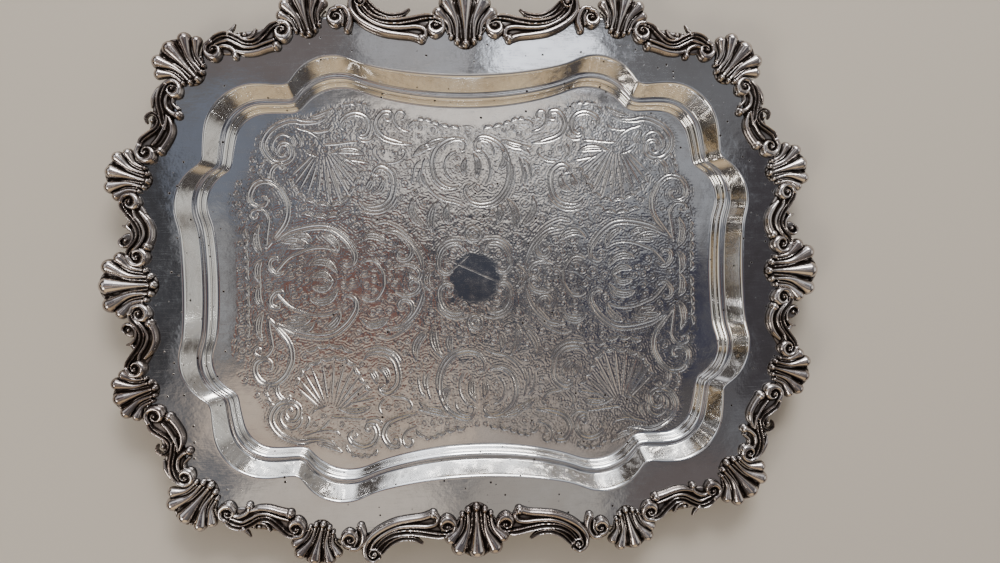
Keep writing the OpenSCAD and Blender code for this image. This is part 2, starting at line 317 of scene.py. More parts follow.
def silver(name, bright, dull, roughness, haze, pits, tarnish_and_shade_attribute=None, dark=(0.03, 0.022, 0.018, 1)):
    """Polished silver plate with hazy patches, hairlines, a share of pits, and darkening by a named value
    that is tarnishing together with painted shade.
    """
    material = bpy.data.materials.new(name)
    material.use_nodes = True
    tree = material.node_tree
    shader = tree.nodes["Principled BSDF"]
    shader.inputs["Metallic"].default_value = 1.0
    place = add(tree, "TexCoord").outputs["Object"]
    clouds = noise(tree, place, 22.0, 5.0, 0.6)
    smudges = noise(tree, place, 130.0, 6.0, 0.65)
    hairs = plus(tree, streaks(tree, place, 8, 2600.0, 60.0), streaks(tree, place, 63, 2200.0, 80.0), 1.0)
    spots = add(tree, "TexVoronoi", Vector=place, Scale=PITS_PER_METRE, Randomness=1.0)
    chosen = add(tree, "SeparateColor", Color=spots.outputs["Color"]).outputs[0]
    size = ranged(tree, chosen, 1.0 - pits, 1.0, 0.0, PIT_SIZE)
    pit = ranged(tree, math_node(tree, "SUBTRACT", size, spots.outputs["Distance"]), -0.03, 0.03)
    colour = mixed(tree, ranged(tree, clouds, 0.35, 0.7), bright, dull)
    colour = mixed(tree, pit, colour, dark)
    rough = ranged(tree, smudges, 0.35, 0.75, roughness, roughness + haze)
    rough = plus(tree, rough, pit, 0.4)
    rough = plus(tree, rough, ranged(tree, hairs, 1.05, 1.35), 0.08)
    # The named value mixes the colour towards dark: tarnishing together with painted shade in grooves and
    # hollows.
    if tarnish_and_shade_attribute:
        tarnish_and_shade = add(tree, "Attribute", {"attribute_name": tarnish_and_shade_attribute}).outputs["Fac"]
        tarnish_and_shade = math_node(tree, "MULTIPLY", tarnish_and_shade, ranged(tree, smudges, 0.2, 0.6, 0.75, 1.1))
        colour = mixed(tree, tarnish_and_shade, colour, dark)
        rough = plus(tree, rough, tarnish_and_shade, 0.3)
    tree.links.new(colour, shader.inputs["Base Color"])
    tree.links.new(rough, shader.inputs["Roughness"])
    height = math_node(tree, "MULTIPLY", hairs, 0.004)
    for value, factor in ((smudges, 0.004), (clouds, 0.2), (pit, -0.05)):
        height = plus(tree, height, value, factor)
    bump = add(tree, "Bump", Height=height, Strength=1.0, Distance=MM)
    tree.links.new(bump.outputs["Normal"], shader.inputs["Normal"])
    return material


rim_silver = silver("rim_silver", (0.88, 0.88, 0.88, 1), (0.78, 0.76, 0.74, 1), 0.05, 0.06, 0.8)
well_silver = silver("well_silver", (0.9, 0.88, 0.85, 1), (0.76, 0.72, 0.68, 1), 0.06, 0.08, 0.3, "groove")
cast_silver = silver("cast_silver", (0.76, 0.7, 0.67, 1), (0.38, 0.32, 0.3, 1), 0.1, 0.1, 0.12, "cast_tarnish_and_shade",
                     (0.02, 0.014, 0.011, 1))


# ---- the sheet: rim, wall, underside, and a shallow pocket for the engraved floor ----

# How far the pocket for the floor panels runs in under the wall's foot, and how deep it is
POCKET_INSET = 0.4
POCKET_DEPTH = 0.5
# Height of the rim's waves
RIM_WAVE = 0.06
# How far the rim's outer edge bulges, as a share of the rim's width
EDGE_BULGE = 0.015


def arc_section(centre, radius, from_angle, to_angle, steps):
    return np.array(centre) + polar(radius, np.linspace(from_angle, to_angle, steps + 1))


def wall_section():
    """The wall's upper face as (distance inwards, height above the rim)."""
    shoulder = arc_section((0.4, -2.4), 2.4, 90, 33, 8)
    roll = arc_section((12.0, -15.6), 3.6, 125, 3, 14)
    fillet = arc_section((18.5, -18.5), 2.8, 180, 270, 8)
    slope = shoulder[-1] + (roll[0] - shoulder[-1]) * np.linspace(0.1, 0.95, 6)[:, None]
    return np.vstack([[[0, 0]], shoulder, slope, roll, fillet])


def ring(outer, inner, share, height):
    flat = outer + (inner - outer) * share
    return np.column_stack([flat, np.full(len(flat), height)])


def rim_rings(steps=14):
    """The flat rim, a little wavy, as hand-hammered sheet is."""
    rings = []
    for share in np.linspace(0, 1, steps, endpoint=False):
        made = ring(rim_edge, well_top, share, RIM_HEIGHT)
        x, y = made[:, 0], made[:, 1]
        wave = np.sin(x / 21 + 1.3) * np.cos(y / 17) + 0.5 * np.sin(x / 9 - y / 11)
        made[:, 2] += RIM_WAVE * wave * share * (1 - share) * 4
        rings.append(made)
    return rings


def sheet_mesh():
    """Closed, in rings: up the wall's underside, round the rim's edge and down to the pocket."""
    section = wall_section()
    width = section[-1][0]
    under = section - SHEET * normals(section)
    under[[0, -1]] = section[[0, -1]] - (0, SHEET)
    rings = [ring(well_top, well_floor, d / width, RIM_HEIGHT + z) for d, z in under[::-1]]
    rings.append(ring(rim_edge, well_top, 0, RIM_HEIGHT - SHEET))
    rings.append(ring(rim_edge, well_top, -EDGE_BULGE, RIM_HEIGHT - SHEET / 2))
    rings += rim_rings()
    rings += [ring(well_top, well_floor, d / width, RIM_HEIGHT + z) for d, z in section]
    pocket = 1 + POCKET_INSET / width
    rings.append(ring(well_top, well_floor, pocket, SHEET))
    rings.append(ring(well_top, well_floor, pocket, SHEET - POCKET_DEPTH))
    count = len(well_top)
    number = np.arange(len(rings) * count).reshape(len(rings), count)
    after = np.roll(number, -1, axis=1)
    quads = np.stack([number[:-1], number[1:], after[1:], after[:-1]], -1).reshape(-1, 4)[:, ::-1]
    return new_mesh("tray_sheet", np.vstack(rings), quads, [number[-1], number[0][::-1]])


add_piece("tray_sheet", sheet_mesh(), rim_silver, "tray_body")
pocket_edge = well_top + (well_floor - well_top) * (1 + POCKET_INSET / wall_section()[-1][0])


# ---- the engraved floor ----

# Spacing of the floor's grid, and its panels along X and Y
CELL = 0.4
TILES = (4, 2)
# Width and depth of the design's main lines and of the fine ones between them
GROOVE = 1.15
DEEP = 0.3
FINE = 0.85
FINE_DEEP = 0.12
# The plain border round the design
MARGIN = 12
# Curls on bare ground: how many are tried, their radius, and the bare cells one needs each way
CURL_TRIES = 9000
CURL = 2.2
CURL_ROOM = 7
# Spacing of the lines that echo the main ones, and how far they spread
ECHO = 1.7
REACH = 6.0
# Long scratches across the middle
SCRATCHES = 26
SCRATCH_DEEP = 0.05
# How far the ground between the lines lies below plain metal, and the height of its grain
GROUND_DROP = 0.03
GRAIN = 0.015
# The middle of the design, a little off the tray's own, and the half sizes of the plain field there
PATTERN_CENTRE = np.array([3.5, -1.0])
FIELD = (20, 19)

floor_x = np.arange(-176, 176 + CELL / 2, CELL)
floor_y = np.arange(-132, 132 + CELL / 2, CELL)
grid_x, grid_y = np.meshgrid(floor_x, floor_y, indexing="ij")
grid_start = np.array([floor_x[0], floor_y[0]])
# Depth of the engraving at each place, and where it leaves the metal plain
grooves = np.zeros(grid_x.shape)
plain = np.zeros(grid_x.shape)


def draw(field, path, width, strength, taper=True):
    """Draw a round-bottomed stroke into a field, fading at both ends."""
    ends = np.minimum(np.arange(len(path)), np.arange(len(path))[::-1])
    swell = np.clip(0.45 + ends / 7, 0, 1) if taper else np.ones(len(path))
    for a, b, share in zip(path, path[1:], swell):
        reach = width / 2 * share
        i0, j0 = ((np.minimum(a, b) - reach - grid_start) / CELL).astype(int)
        i1, j1 = ((np.maximum(a, b) + reach - grid_start) / CELL).astype(int) + 2
        if i0 < 0 or j0 < 0 or i1 > len(floor_x) or j1 > len(floor_y):
            continue
        x, y = grid_x[i0:i1, j0:j1], grid_y[i0:i1, j0:j1]
        dx, dy = b - a
        t = np.clip(((x - a[0]) * dx + (y - a[1]) * dy) / (dx * dx + dy * dy + 1e-9), 0, 1)
        square = ((x - a[0] - t * dx) ** 2 + (y - a[1] - t * dy) ** 2) / reach ** 2
        window = field[i0:i1, j0:j1]
        np.maximum(window, strength * share * np.clip(1 - square, 0, 1), out=window)


def line(path, width=GROOVE, deep=DEEP):
    draw(grooves, path, width, deep)


def band(path, gap):
    """A scroll: two lines with polished metal between them, and cuts across it."""
    edge = beside(path, gap)
    line(path, GROOVE * 1.15)
    line(edge, GROOVE * 0.9)
    draw(plain, (path + edge) / 2, abs(gap) * 1.2, 1, False)
    barbs(edge, gap * 1.3)
    barbs(path, -gap * 0.9, 3, -0.6)


def barbs(path, length, every=2, lean=0.5):
    """Fine cuts along one side of a path, like the barbs of a feather."""
    side = normals(path)
    along = np.stack([side[:, 1], -side[:, 0]], 1)
    for point, left, forward in zip(path[2:-2:every], side[2:-2:every], along[2:-2:every]):
        start = point + left * math.copysign(0.5, length)
        line(np.array([start, start + left * length + forward * abs(length) * lean]), FINE, FINE_DEEP)


def scallops(points, bulge):
    """A ruffled edge: an arc from each point to the next, standing out by bulge."""
    points = np.array(points, float)
    for a, b in zip(points, points[1:]):
        across = np.array([b[1] - a[1], a[0] - b[0]])
        across /= np.hypot(*across)
        for share in (1, 0.45):
            out = across * bulge * share
            sides = [a + (b - a) * at + out * 0.85 for at in (0.25, 0.75)]
            line(smooth([a, sides[0], (a + b) / 2 + out, sides[1], b]), GROOVE * (0.7 + 0.3 * share))


def rays(base, tips, start=0.2, end=0.93):
    """The ribs of a fan, from near its base to its tips."""
    base = np.array(base, float)
    for tip in np.array(tips, float):
        draw(plain, np.array([base + (tip - base) * 0.3, base + (tip - base) * 0.95]), 3.2, 1, False)
        line(np.array([base + (tip - base) * s for s in np.linspace(start, end, 12)]), GROOVE * 0.9)


def leaf(points, width):
    """A pointed leaf round its vein."""
    vein = smooth(points)
    swell = np.sin(np.pi * np.linspace(0, 1, len(vein)) ** 0.8)[:, None] * width
    line(vein, GROOVE * 0.8)
    line(vein + normals(vein) * swell)
    line(vein - normals(vein) * swell)
    barbs(vein, width * 0.9, 3, 0.9)
    barbs(vein, -width * 0.9, 3, 0.9)


# Curves of one quarter of the design, from its centre towards its back right corner: (gap, points).
# Where the gap isn't 0 the curve is a band, with its second line that far to its left.
SCROLLS = (
    (2.6, ((99, 113), (105.5, 109.5), (115.5, 108.5), (121.5, 109.5), (127.5, 108.5), (134.5, 105),
        (139, 100.5), (141.5, 95), (140.5, 90), (136.5, 85), (131.5, 83.5), (127.5, 84.5), (125, 87),
        (125, 91), (127, 94), (130.5, 94), (132.5, 91), (132, 88), (129.5, 87), (128, 89.5))),
    (0, ((134.5, 88), (136.5, 92), (136, 96), (133.5, 99.5), (129.5, 101.5), (125, 100), (122.5, 97),
        (122, 92.5))),
    (0, ((121.5, 106.5), (115.5, 104.5), (106.5, 102.7), (101.5, 103.3), (98.5, 104), (96, 107))),
    (0, ((119.5, 92.3), (117.5, 93.5), (117, 96.5), (118.5, 99), (120, 101.5))),
    (0, ((115.5, 91.5), (112.5, 88.5), (109, 87), (105.5, 86))),
    (0, ((103, 95.5), (105.5, 99), (109.5, 102), (113.5, 104))),
    (1.8, ((136.5, 69), (139, 73), (138.5, 77), (136, 80.5), (132.5, 82.3), (130, 81), (129.5, 78.5),
        (131, 77.8), (132, 79.5))),
    (2.2, ((142.5, 23), (139.5, 28), (134.5, 35), (130.5, 41), (128.5, 47), (128.5, 54), (130.5, 59),
        (133.5, 64), (138.5, 68), (143.5, 68.7), (148.5, 66.5), (151.5, 61), (151, 56), (147.5, 53.5),
        (143.5, 53.5), (141.5, 56), (142, 59), (144.5, 59.2))),
    (0, ((142.5, 23), (142, 31), (140.5, 41), (140.5, 45), (143.5, 49.5), (147.5, 50.5), (151.5, 49),
        (152.5, 46.5), (150.5, 44.3), (148.3, 45.5), (148.7, 47.8))),
    (1.6, ((130.5, 8), (133.5, 5.5), (137.5, 6), (141, 10), (141.5, 14), (139.5, 17), (135.5, 17.5),
        (134.5, 15))),
    (0, ((137.5, 6), (128.5, 16), (120.5, 20), (111.5, 23), (101.5, 23), (94.5, 20))),
    (-2.6, ((139.5, 27), (128.5, 32), (118.5, 35), (108.5, 36.5), (99.5, 35.5), (91.5, 30), (86.5, 24),
        (83.5, 18), (84, 13), (87.5, 10.5), (90.5, 11.5))),
    (2.2, ((86.5, 103.5), (89.5, 106), (90.5, 109.5), (88.5, 113), (84.5, 115.5), (79.5, 116.5),
        (73.5, 114.5), (70, 110), (69.5, 105), (71.5, 100.5), (75, 98.8), (77.5, 100), (78.5, 103),
        (76.5, 104.8), (74.5, 103.5))),
    (0, ((87.5, 106.5), (86, 109), (84.5, 107.5), (85.5, 105.5))),
    (0, ((78.5, 98.5), (75.5, 96.5), (71.5, 96.3), (68.5, 98), (66.5, 100))),
    (2.4, ((41.5, 94), (49.5, 94.3), (57.5, 96), (63.5, 99.5), (67, 106), (66.5, 111), (63.5, 115.5),
        (60.5, 117.5), (56, 117), (54.5, 114), (55.5, 111), (58, 110.5), (59.5, 112))),
    (0, ((42.5, 102.5), (47.5, 104), (51.5, 107.5), (53, 112), (51.5, 116), (48.5, 117), (46, 114.5),
        (47, 111.5), (49.5, 111))),
    (-2.8, ((78.5, 55), (75.5, 51), (69.5, 49), (62.5, 50), (56.5, 55), (54, 62), (53.5, 69), (55.5, 75),
        (60.5, 79), (64.5, 79.5), (68, 77), (68.3, 74), (65.5, 73), (64, 74.5))),
    (0, ((77.5, 48), (69.5, 46.5), (62.5, 47.5), (56, 52), (52.5, 58))),
    (0, ((64.5, 82), (68, 86), (68.5, 90), (66.5, 93.5))),
    (0, ((60.5, 81), (53.5, 81.5), (48.5, 84), (46, 88), (48, 90.5), (49.5, 88.5))),
    (0, ((41.5, 67), (41, 73), (39.5, 79), (36, 83))),
    (0, ((37, 65), (37.5, 72), (36.5, 77))),
    (0, ((33.5, 65), (35.5, 72), (34.5, 79), (33, 84))),
    (0, ((63.5, -5), (63, 3), (65.5, 9), (69.5, 13.5), (74.5, 14), (78.5, 12))),
    (1.6, ((55.5, 9), (48.5, 11.5), (41.5, 10), (37.5, 5), (38.5, 0.5), (42.5, -0.5), (46, 2.5), (45, 6),
        (42, 5.5))),
    (1.6, ((53.5, 32), (47.5, 28), (43.5, 23), (43.5, 17), (47, 13.5), (51.5, 13.5), (54, 17), (52, 20.5),
        (49, 18.5))),
    (0, ((43.5, 29), (51.5, 36), (60.5, 40), (67.5, 39))),
    (-2, ((63.5, 34), (53.5, 32), (45.5, 26), (40.5, 19), (37.5, 11), (36.5, 4))),
    (1.8, ((8, 20), (10, 23.5), (16.5, 23.5), (21.5, 20), (24, 14), (24, 8), (20.5, 4.5), (17, 5.5),
        (16.5, 8), (18.5, 9.5))),
    (0, ((5.5, 27), (13.5, 28), (20.5, 26), (25.5, 21), (26.5, 14))),
    (0, ((8, 20), (6.5, 18.5), (8, 17), (9.8, 18.2))),
)
RUFFLES = (
    (2.2, ((126.5, 71), (124.5, 65), (121, 60), (115.5, 56), (107.5, 53), (98.5, 51.5), (90.5, 53),
        (84.5, 58), (81, 65), (77.5, 71), (73.5, 76))),
    (1.8, ((118, 47), (110, 44.5), (101.5, 43.5), (93, 45), (86, 49))),
    (1.8, ((142, 70), (144.5, 74), (144, 78), (142, 82), (139, 85))),
    (1.8, ((91.5, 114), (88.5, 119), (84.5, 121.5), (79.5, 120.5), (75, 121.5), (71, 118))),
    (1.8, ((43.5, 105), (37.5, 110), (33, 110.5), (28, 108.5), (22.5, 106.5), (15.5, 105), (8.5, 104))),
    (1.8, ((154.5, 2), (155, 9), (154.5, 16), (155.5, 23), (154.5, 30), (156, 37))),
)
LEAVES = (
    (2, ((132.5, 28), (125.5, 29), (118.5, 27.5), (113.5, 25))),
    (1.6, ((123.5, 31), (116.5, 32), (111.5, 28))),
    (1.8, ((128, 24), (121, 25.5), (115, 23.5))),
    (1.8, ((105, 33), (99, 30), (95, 25), (94, 20))),
    (1.7, ((146, 20), (149, 26), (149.5, 33), (147, 40))),
    (1.7, ((146, 16), (149, 11), (149, 5), (147, 0))),
    (1.6, ((112, 112), (105, 113), (99, 116), (95, 119))),
    (2, ((29, 33), (30, 41), (28, 49), (24, 55))),
    (2, ((34, 36), (40, 42), (43, 49), (42, 57))),
    (1.8, ((17, 38), (19, 45), (17.5, 52))),
    (1.8, ((61, 26), (66, 30), (73, 31), (79, 27))),
    (1.7, ((29, -6), (33, -3), (34, 3), (31, 8))),
    (1.8, ((114, 12), (107, 14), (100, 12), (95, 6))),
    (1.6, ((112, 4), (104, 5), (98, 0))),
    (1.6, ((22, 96), (28, 93), (35, 91), (41, 86))),
    (1.7, ((75, 88), (82, 90), (90, 90), (97, 88))),
    (1.6, ((69, 60), (64, 63), (62, 68), (63, 72))),
    (1.6, ((74, 62), (71, 67), (70, 72))),
)
FAN_BASE = (102.5, 94)
FAN_LOW = ((71.5, 81.5), (88.5, 84.5)), ((102.5, 94), (93.5, 94.5), (85.5, 95.5), (78.5, 96))
# Curves of the cartouche at the back. The one at the front is the same turned half round.
CARTOUCHE = (
    (2.2, ((-1.5, 66), (-5, 64.5), (-6, 60), (-4.5, 56), (-1.5, 52.5), (3.5, 50.5), (8.5, 50.5), (14.5, 52),
        (20.5, 57), (24.5, 63), (26.5, 70), (27, 78), (25.5, 85), (22.5, 91), (18.5, 95.5), (11.5, 99),
        (5.5, 99), (2.5, 95.5), (2, 92), (4, 89.5), (6.5, 90), (7, 91.5))),
    (0, ((9.5, 49), (16.5, 51), (22.5, 56), (26.5, 63), (28.5, 71), (28, 79))),
    (0, ((8.5, 65), (11.5, 70), (12.5, 76), (11.5, 82), (8.5, 87), (6.5, 89))),
    (0, ((15.5, 85), (15, 90), (12.5, 94), (8.5, 96), (4.5, 95.5))),
    (-2.2, ((-9.5, 65), (-13.5, 63), (-18.5, 63), (-23.5, 65.5), (-27, 70), (-28.5, 75), (-29, 81),
        (-27.5, 87), (-24.5, 92), (-19.5, 96), (-14.5, 98), (-8.5, 98), (-4.5, 97))),
    (0, ((-14.5, 69), (-18, 73), (-19.5, 78), (-18.5, 83), (-15.5, 87), (-11.5, 89))),
    (0, ((-9, 91), (-7.5, 89), (-5, 90), (-4.5, 93), (-7, 96), (-11.5, 96.5), (-16.5, 94.5), (-19.5, 90))),
    (0, ((-6.5, 50), (-12.5, 53), (-20.5, 55), (-27.5, 60), (-32.5, 67), (-34.5, 73))),
)
CARTOUCHE_LEAVES = (
    (2, ((18.5, 76), (22, 79), (23.5, 84), (21.5, 90))),
    (1.8, ((-16.5, 98), (-26.5, 95), (-34.5, 90), (-40.5, 86))),
    (1.8, ((20.5, 96), (31.5, 92), (41.5, 91))),
    (1.8, ((3, 70), (4, 76), (3.5, 82), (1, 87))),
    (1.6, ((-5, 72), (-6, 78), (-4.5, 84))),
)


def copied(points, turn):
    """A copy of points of the design, mirrored or turned half round, in its place on the floor."""
    return np.array(points) * turn + PATTERN_CENTRE


def engrave():
    quarters = ((1, 1), (-1, 1), (-1, -1), (1, -1))
    halves = ((1, 1), (-1, -1))
    for curves, leaves, turns in ((SCROLLS, LEAVES, quarters), (CARTOUCHE, CARTOUCHE_LEAVES, halves)):
        for turn in turns:
            for gap, points in curves:
                path = smooth(copied(points, turn))
                if gap:
                    band(path, gap * turn[0] * turn[1])
                else:
                    line(path)
                    draw(plain, path, 2.6, 0.7, False)
            for width, points in leaves:
                leaf(copied(points, turn), width)
    for turn in quarters:
        for bulge, points in RUFFLES:
            scallops(copied(points, turn), bulge * turn[0] * turn[1])
        rays(copied(FAN_BASE, turn), copied(RUFFLES[0][1], turn))
        for points in FAN_LOW:
            line(smooth(copied(points, turn)))
    for turn in halves:
        for hand in (-1, 1):
            line(spiral(copied((0, 31), turn), 6.5, 90 * hand, 2.2, hand))
    off_x, off_y = grid_x - PATTERN_CENTRE[0], grid_y - PATTERN_CENTRE[1]
    field = np.hypot(off_x / FIELD[0], off_y / FIELD[1])
    plain[:] = np.maximum(plain, np.clip(6 * (1.02 - field), 0, 1))


def blurred(values, times):
    """Each pass averages every value with its neighbours."""
    for _ in range(times):
        for axis in (0, 1):
            values = (np.roll(values, 1, axis) + 2 * values + np.roll(values, -1, axis)) / 4
    return values


def distance_from(marked):
    """Distance from each place to the nearest marked one, up to REACH."""
    away = np.where(marked, 0, REACH)
    steps = [(i, j) for i in (-1, 0, 1) for j in (-1, 0, 1) if i or j]
    for _ in range(int(REACH / CELL)):
        for step in steps:
            away = np.minimum(away, np.roll(away, step, (0, 1)) + CELL * math.hypot(*step))
    return away


def inside_outline(ring_points, x, y, margin):
    """Whether each place is inside an outline that a ray from the middle crosses once."""
    angles = np.arctan2(ring_points[:, 1], ring_points[:, 0])
    order = angles.argsort()
    reach = np.interp(np.arctan2(y, x), angles[order], np.hypot(*ring_points.T)[order], period=2 * math.pi)
    return np.hypot(x, y) < reach - margin


def fill_in():
    """Small curls on bare ground, broken fine lines that echo every curve, and scratches, all seeded."""
    rng = np.random.default_rng(11)
    within = inside_outline(well_floor, grid_x, grid_y, MARGIN)
    for x, y, start in rng.uniform((-158, -120, 0), (158, 120, 360), (CURL_TRIES, 3)):
        i, j = ((np.array([x, y]) - grid_start) / CELL).astype(int)
        around = (slice(i - CURL_ROOM, i + CURL_ROOM + 1), slice(j - CURL_ROOM, j + CURL_ROOM + 1))
        if within[i, j] and not grooves[around].any() and not plain[i, j]:
            line(spiral((x, y), CURL, start, 1.1, 1 if start > 180 else -1), FINE, FINE_DEEP * 1.3)
    away = distance_from(grooves > FINE_DEEP / 2)
    breaks = blurred(rng.standard_normal(grid_x.shape), 8)
    echo = np.clip(1.2 * np.cos(2 * math.pi * away / ECHO) - 0.2, 0, 1) * (1 - np.clip(plain, 0, 1))
    echo *= within & (away > ECHO / 2) & (away < REACH - ECHO / 2) & (breaks > -0.5 * breaks.std())
    np.maximum(grooves, FINE_DEEP * blurred(echo, 1), out=grooves)
    for x, y, angle, length in rng.uniform((-90, -80, -60, 15), (90, 80, 60, 60), (SCRATCHES, 4)):
        draw(grooves, (x, y) + polar(np.linspace(0, length, 30), angle), FINE, SCRATCH_DEEP)


def floor_heights():
    """Height of the floor at each place of the grid, and how dark it is."""
    engrave()
    fill_in()
    rng = np.random.default_rng(12)
    specks = blurred(rng.standard_normal(grid_x.shape), 1)
    specks /= specks.std()
    near = np.clip(blurred(grooves, 40) * 30, 0, 1)
    ground = near * (1 - np.clip(plain, 0, 1))
    groove = np.clip(grooves / DEEP, 0, 1)
    height = SHEET - grooves - GROUND_DROP * ground + GRAIN * specks * ground
    # The grooves are darkened by tarnishing with painted shade; the ground near the lines is darker in its
    # own mottled tone
    return height, np.clip(0.15 * groove + ground * (0.12 + 0.08 * specks), 0, 1)


def snap_to(ring_points, x, y):
    """The nearest places on a closed outline."""
    a, b = ring_points, np.roll(ring_points, -1, axis=0)
    d = b - a
    ahead = (x[:, None] - a[:, 0]) * d[:, 0] + (y[:, None] - a[:, 1]) * d[:, 1]
    t = np.clip(ahead / (d ** 2).sum(1), 0, 1)
    near_x, near_y = a[:, 0] + t * d[:, 0], a[:, 1] + t * d[:, 1]
    pick = ((x[:, None] - near_x) ** 2 + (y[:, None] - near_y) ** 2).argmin(1)
    rows = np.arange(len(x))
    return near_x[rows, pick], near_y[rows, pick]


def floor_tiles():
    """The floor, as panels that fill the sheet's pocket, each a closed piece."""
    height, groove = floor_heights()
    mid_x = (grid_x[1:, 1:] + grid_x[:-1, :-1]) / 2
    mid_y = (grid_y[1:, 1:] + grid_y[:-1, :-1]) / 2
    keep = filled_in(inside_outline(pocket_edge, mid_x, mid_y, CELL * 0.4))
    _, border = corners_of(keep)
    x, y = grid_x.copy(), grid_y.copy()
    x[border], y[border] = snap_to(pocket_edge, x[border], y[border])
    height[border] = SHEET
    cuts_x = np.linspace(0, keep.shape[0], TILES[0] + 1).astype(int)
    cuts_y = np.linspace(0, keep.shape[1], TILES[1] + 1).astype(int)
    for column, (i0, i1) in enumerate(zip(cuts_x, cuts_x[1:])):
        for row, (j0, j1) in enumerate(zip(cuts_y, cuts_y[1:])):
            cells = keep[i0:i1, j0:j1]
            corners = (slice(i0, i1 + 1), slice(j0, j1 + 1))
            used, _ = corners_of(cells)
            quads = cell_quads(cells, numbered(used))
            top = np.column_stack([x[corners][used], y[corners][used], height[corners][used]])
            loop = border_loop(quads)
            low = top[loop] * (1, 1, 0) + (0, 0, SHEET - POCKET_DEPTH)
            lower = len(top) + np.arange(len(loop))
            sides = np.stack([loop, lower, np.roll(lower, -1), np.roll(loop, -1)], 1)
            name = f"engraved_floor_{column + 1}_{row + 1}"
            mesh = new_mesh(name, np.vstack([top, low]), np.vstack([quads, sides]), [lower[::-1]])
            add_values(mesh, "groove", np.concatenate([groove[corners][used], np.zeros(len(low))]))
            add_piece(name, mesh, well_silver, "tray_body")


floor_tiles()


# ---- the castings ----

# Spacing of a casting's grid, its depth below the rim's face, and the height of its rounded edge
CAST_CELL = 0.3
UNDERCUT = 1.0
BASE_HEIGHT = 1.3
# Height of the low plates that join a casting's parts
PLATE_HEIGHT = 1.6
# Height across a band, where u is 0 at its middle and 1 at its edge
PROFILES = {
    "round": lambda u: np.sqrt(1 - u ** 2),
    "flute": lambda u: np.sqrt(1 - u ** 6) * (0.5 + 0.5 * np.sin(np.pi * np.clip(u * 1.15, 0, 1) ** 2)),
    "plate": lambda u: np.sqrt(1 - u ** 8),
}


class Band:
    """A raised path of a casting, with half widths and heights at even steps or one for each point."""

    def __init__(self, points, widths, heights, profile="round"):
        points = np.array(points, float)
        self.profile = PROFILES[profile]
        self.path = smooth(points, 0.9) if len(points) > 1 else points
        self.stops = nearest_on(self.path, points[:, 0], points[:, 1])[1]
        self.widths = np.atleast_1d(widths)
        self.heights = np.atleast_1d(heights)

    def along(self, values, share):
        stops = self.stops if len(values) == len(self.stops) else np.linspace(0, 1, len(values))
        return np.interp(share, stops, values)

    def measure(self, x, y):
        """Height of the band over each place, and how far inside its edge the place is."""
        distance, share = nearest_on(self.path, x, y)
        width = self.along(self.widths, share)
        height = self.along(self.heights, share) * self.profile(np.clip(distance / width, 0, 1))
        return np.where(distance < width, height, 0), width - distance


def bead(place, radius, height):
    return Band([place], radius, height)


def plate(points, widths):
    return Band(points, widths, PLATE_HEIGHT, "plate")


def measured(bands, x, y):
    """Height of a casting over each place, and how far inside its edge the place is."""
    top, inside = np.zeros(x.shape), np.full(x.shape, -1e9)
    for part in bands:
        height, depth = part.measure(x, y)
        top, inside = np.maximum(top, height), np.maximum(inside, depth)
    base = BASE_HEIGHT * np.sqrt(1 - (1 - np.clip(inside / BASE_HEIGHT, 0, 1)) ** 2)
    return np.maximum(top, base), inside


def casting_mesh_data(bands):
    """Points, quads and darkening values of one casting on the rim: tarnishing together with painted shade.
    """
    reach = max(part.widths.max() for part in bands) + 1
    every = np.vstack([part.path for part in bands])
    low, high = every.min(0) - reach, every.max(0) + reach
    x, y = np.meshgrid(*(np.arange(a, b, CAST_CELL) for a, b in zip(low, high)), indexing="ij")
    top, inside = measured(bands, x, y)
    centre = (inside[1:, 1:] + inside[:-1, :-1] + inside[1:, :-1] + inside[:-1, 1:]) / 4
    keep = filled_in(centre > 0)
    slope_x, slope_y = np.gradient(inside, CAST_CELL)
    steep = slope_x ** 2 + slope_y ** 2 + 0.05
    used, border = corners_of(keep)
    move = np.clip(inside / steep, -CAST_CELL, CAST_CELL)
    x = np.where(border, x - move * slope_x, x)
    y = np.where(border, y - move * slope_y, y)
    top = np.where(border, 0, top)
    rise = np.hypot(*np.gradient(blurred(top, 3), CAST_CELL))
    # Darkening in hollows and low down near the rim is tarnishing with painted shade, and on steep sides a
    # painted dark reflection
    cast_tarnish_and_shade = np.clip((blurred(top, 16) - top + 0.08) / 0.6, 0, 1) + 0.95 * np.exp(-top / 1.6)
    cast_tarnish_and_shade += 0.3 * np.clip(rise - 0.6, 0, 1)
    number = numbered(used)
    inner = used & ~border
    under = np.where(inner, numbered(inner, used.sum()), number)
    below = -UNDERCUT * np.sqrt(1 - (1 - np.clip(inside / UNDERCUT, 0, 1)) ** 2)
    points = np.vstack([np.column_stack([x[used], y[used], RIM_HEIGHT + top[used]]),
                        np.column_stack([x[inner], y[inner], RIM_HEIGHT + np.minimum(below[inner], -0.1)])])
    quads = np.vstack([cell_quads(keep, number), cell_quads(keep, under)[:, ::-1]])
    # The undersides take full darkening, as painted shade under the casting with tarnishing
    return points, quads, np.clip(np.concatenate([cast_tarnish_and_shade[used], np.ones(inner.sum())]), 0, 1)


def add_casting(name, mesh_data, turn):
    """A casting, mirrored by turn, from the data of its copy in the back right quarter."""
    points, quads, cast_tarnish_and_shade = mesh_data
    if turn[0] * turn[1] < 0:
        quads = quads[:, ::-1]
    mesh = new_mesh(name, points * (turn[0], turn[1], 1), quads)
    add_values(mesh, "cast_tarnish_and_shade", cast_tarnish_and_shade)
    add_piece("cast_" + name, mesh, cast_silver, name)


# Length of a centre shell. The shells below are drawn from their base outwards at that size.
SHELL_LENGTH = 38
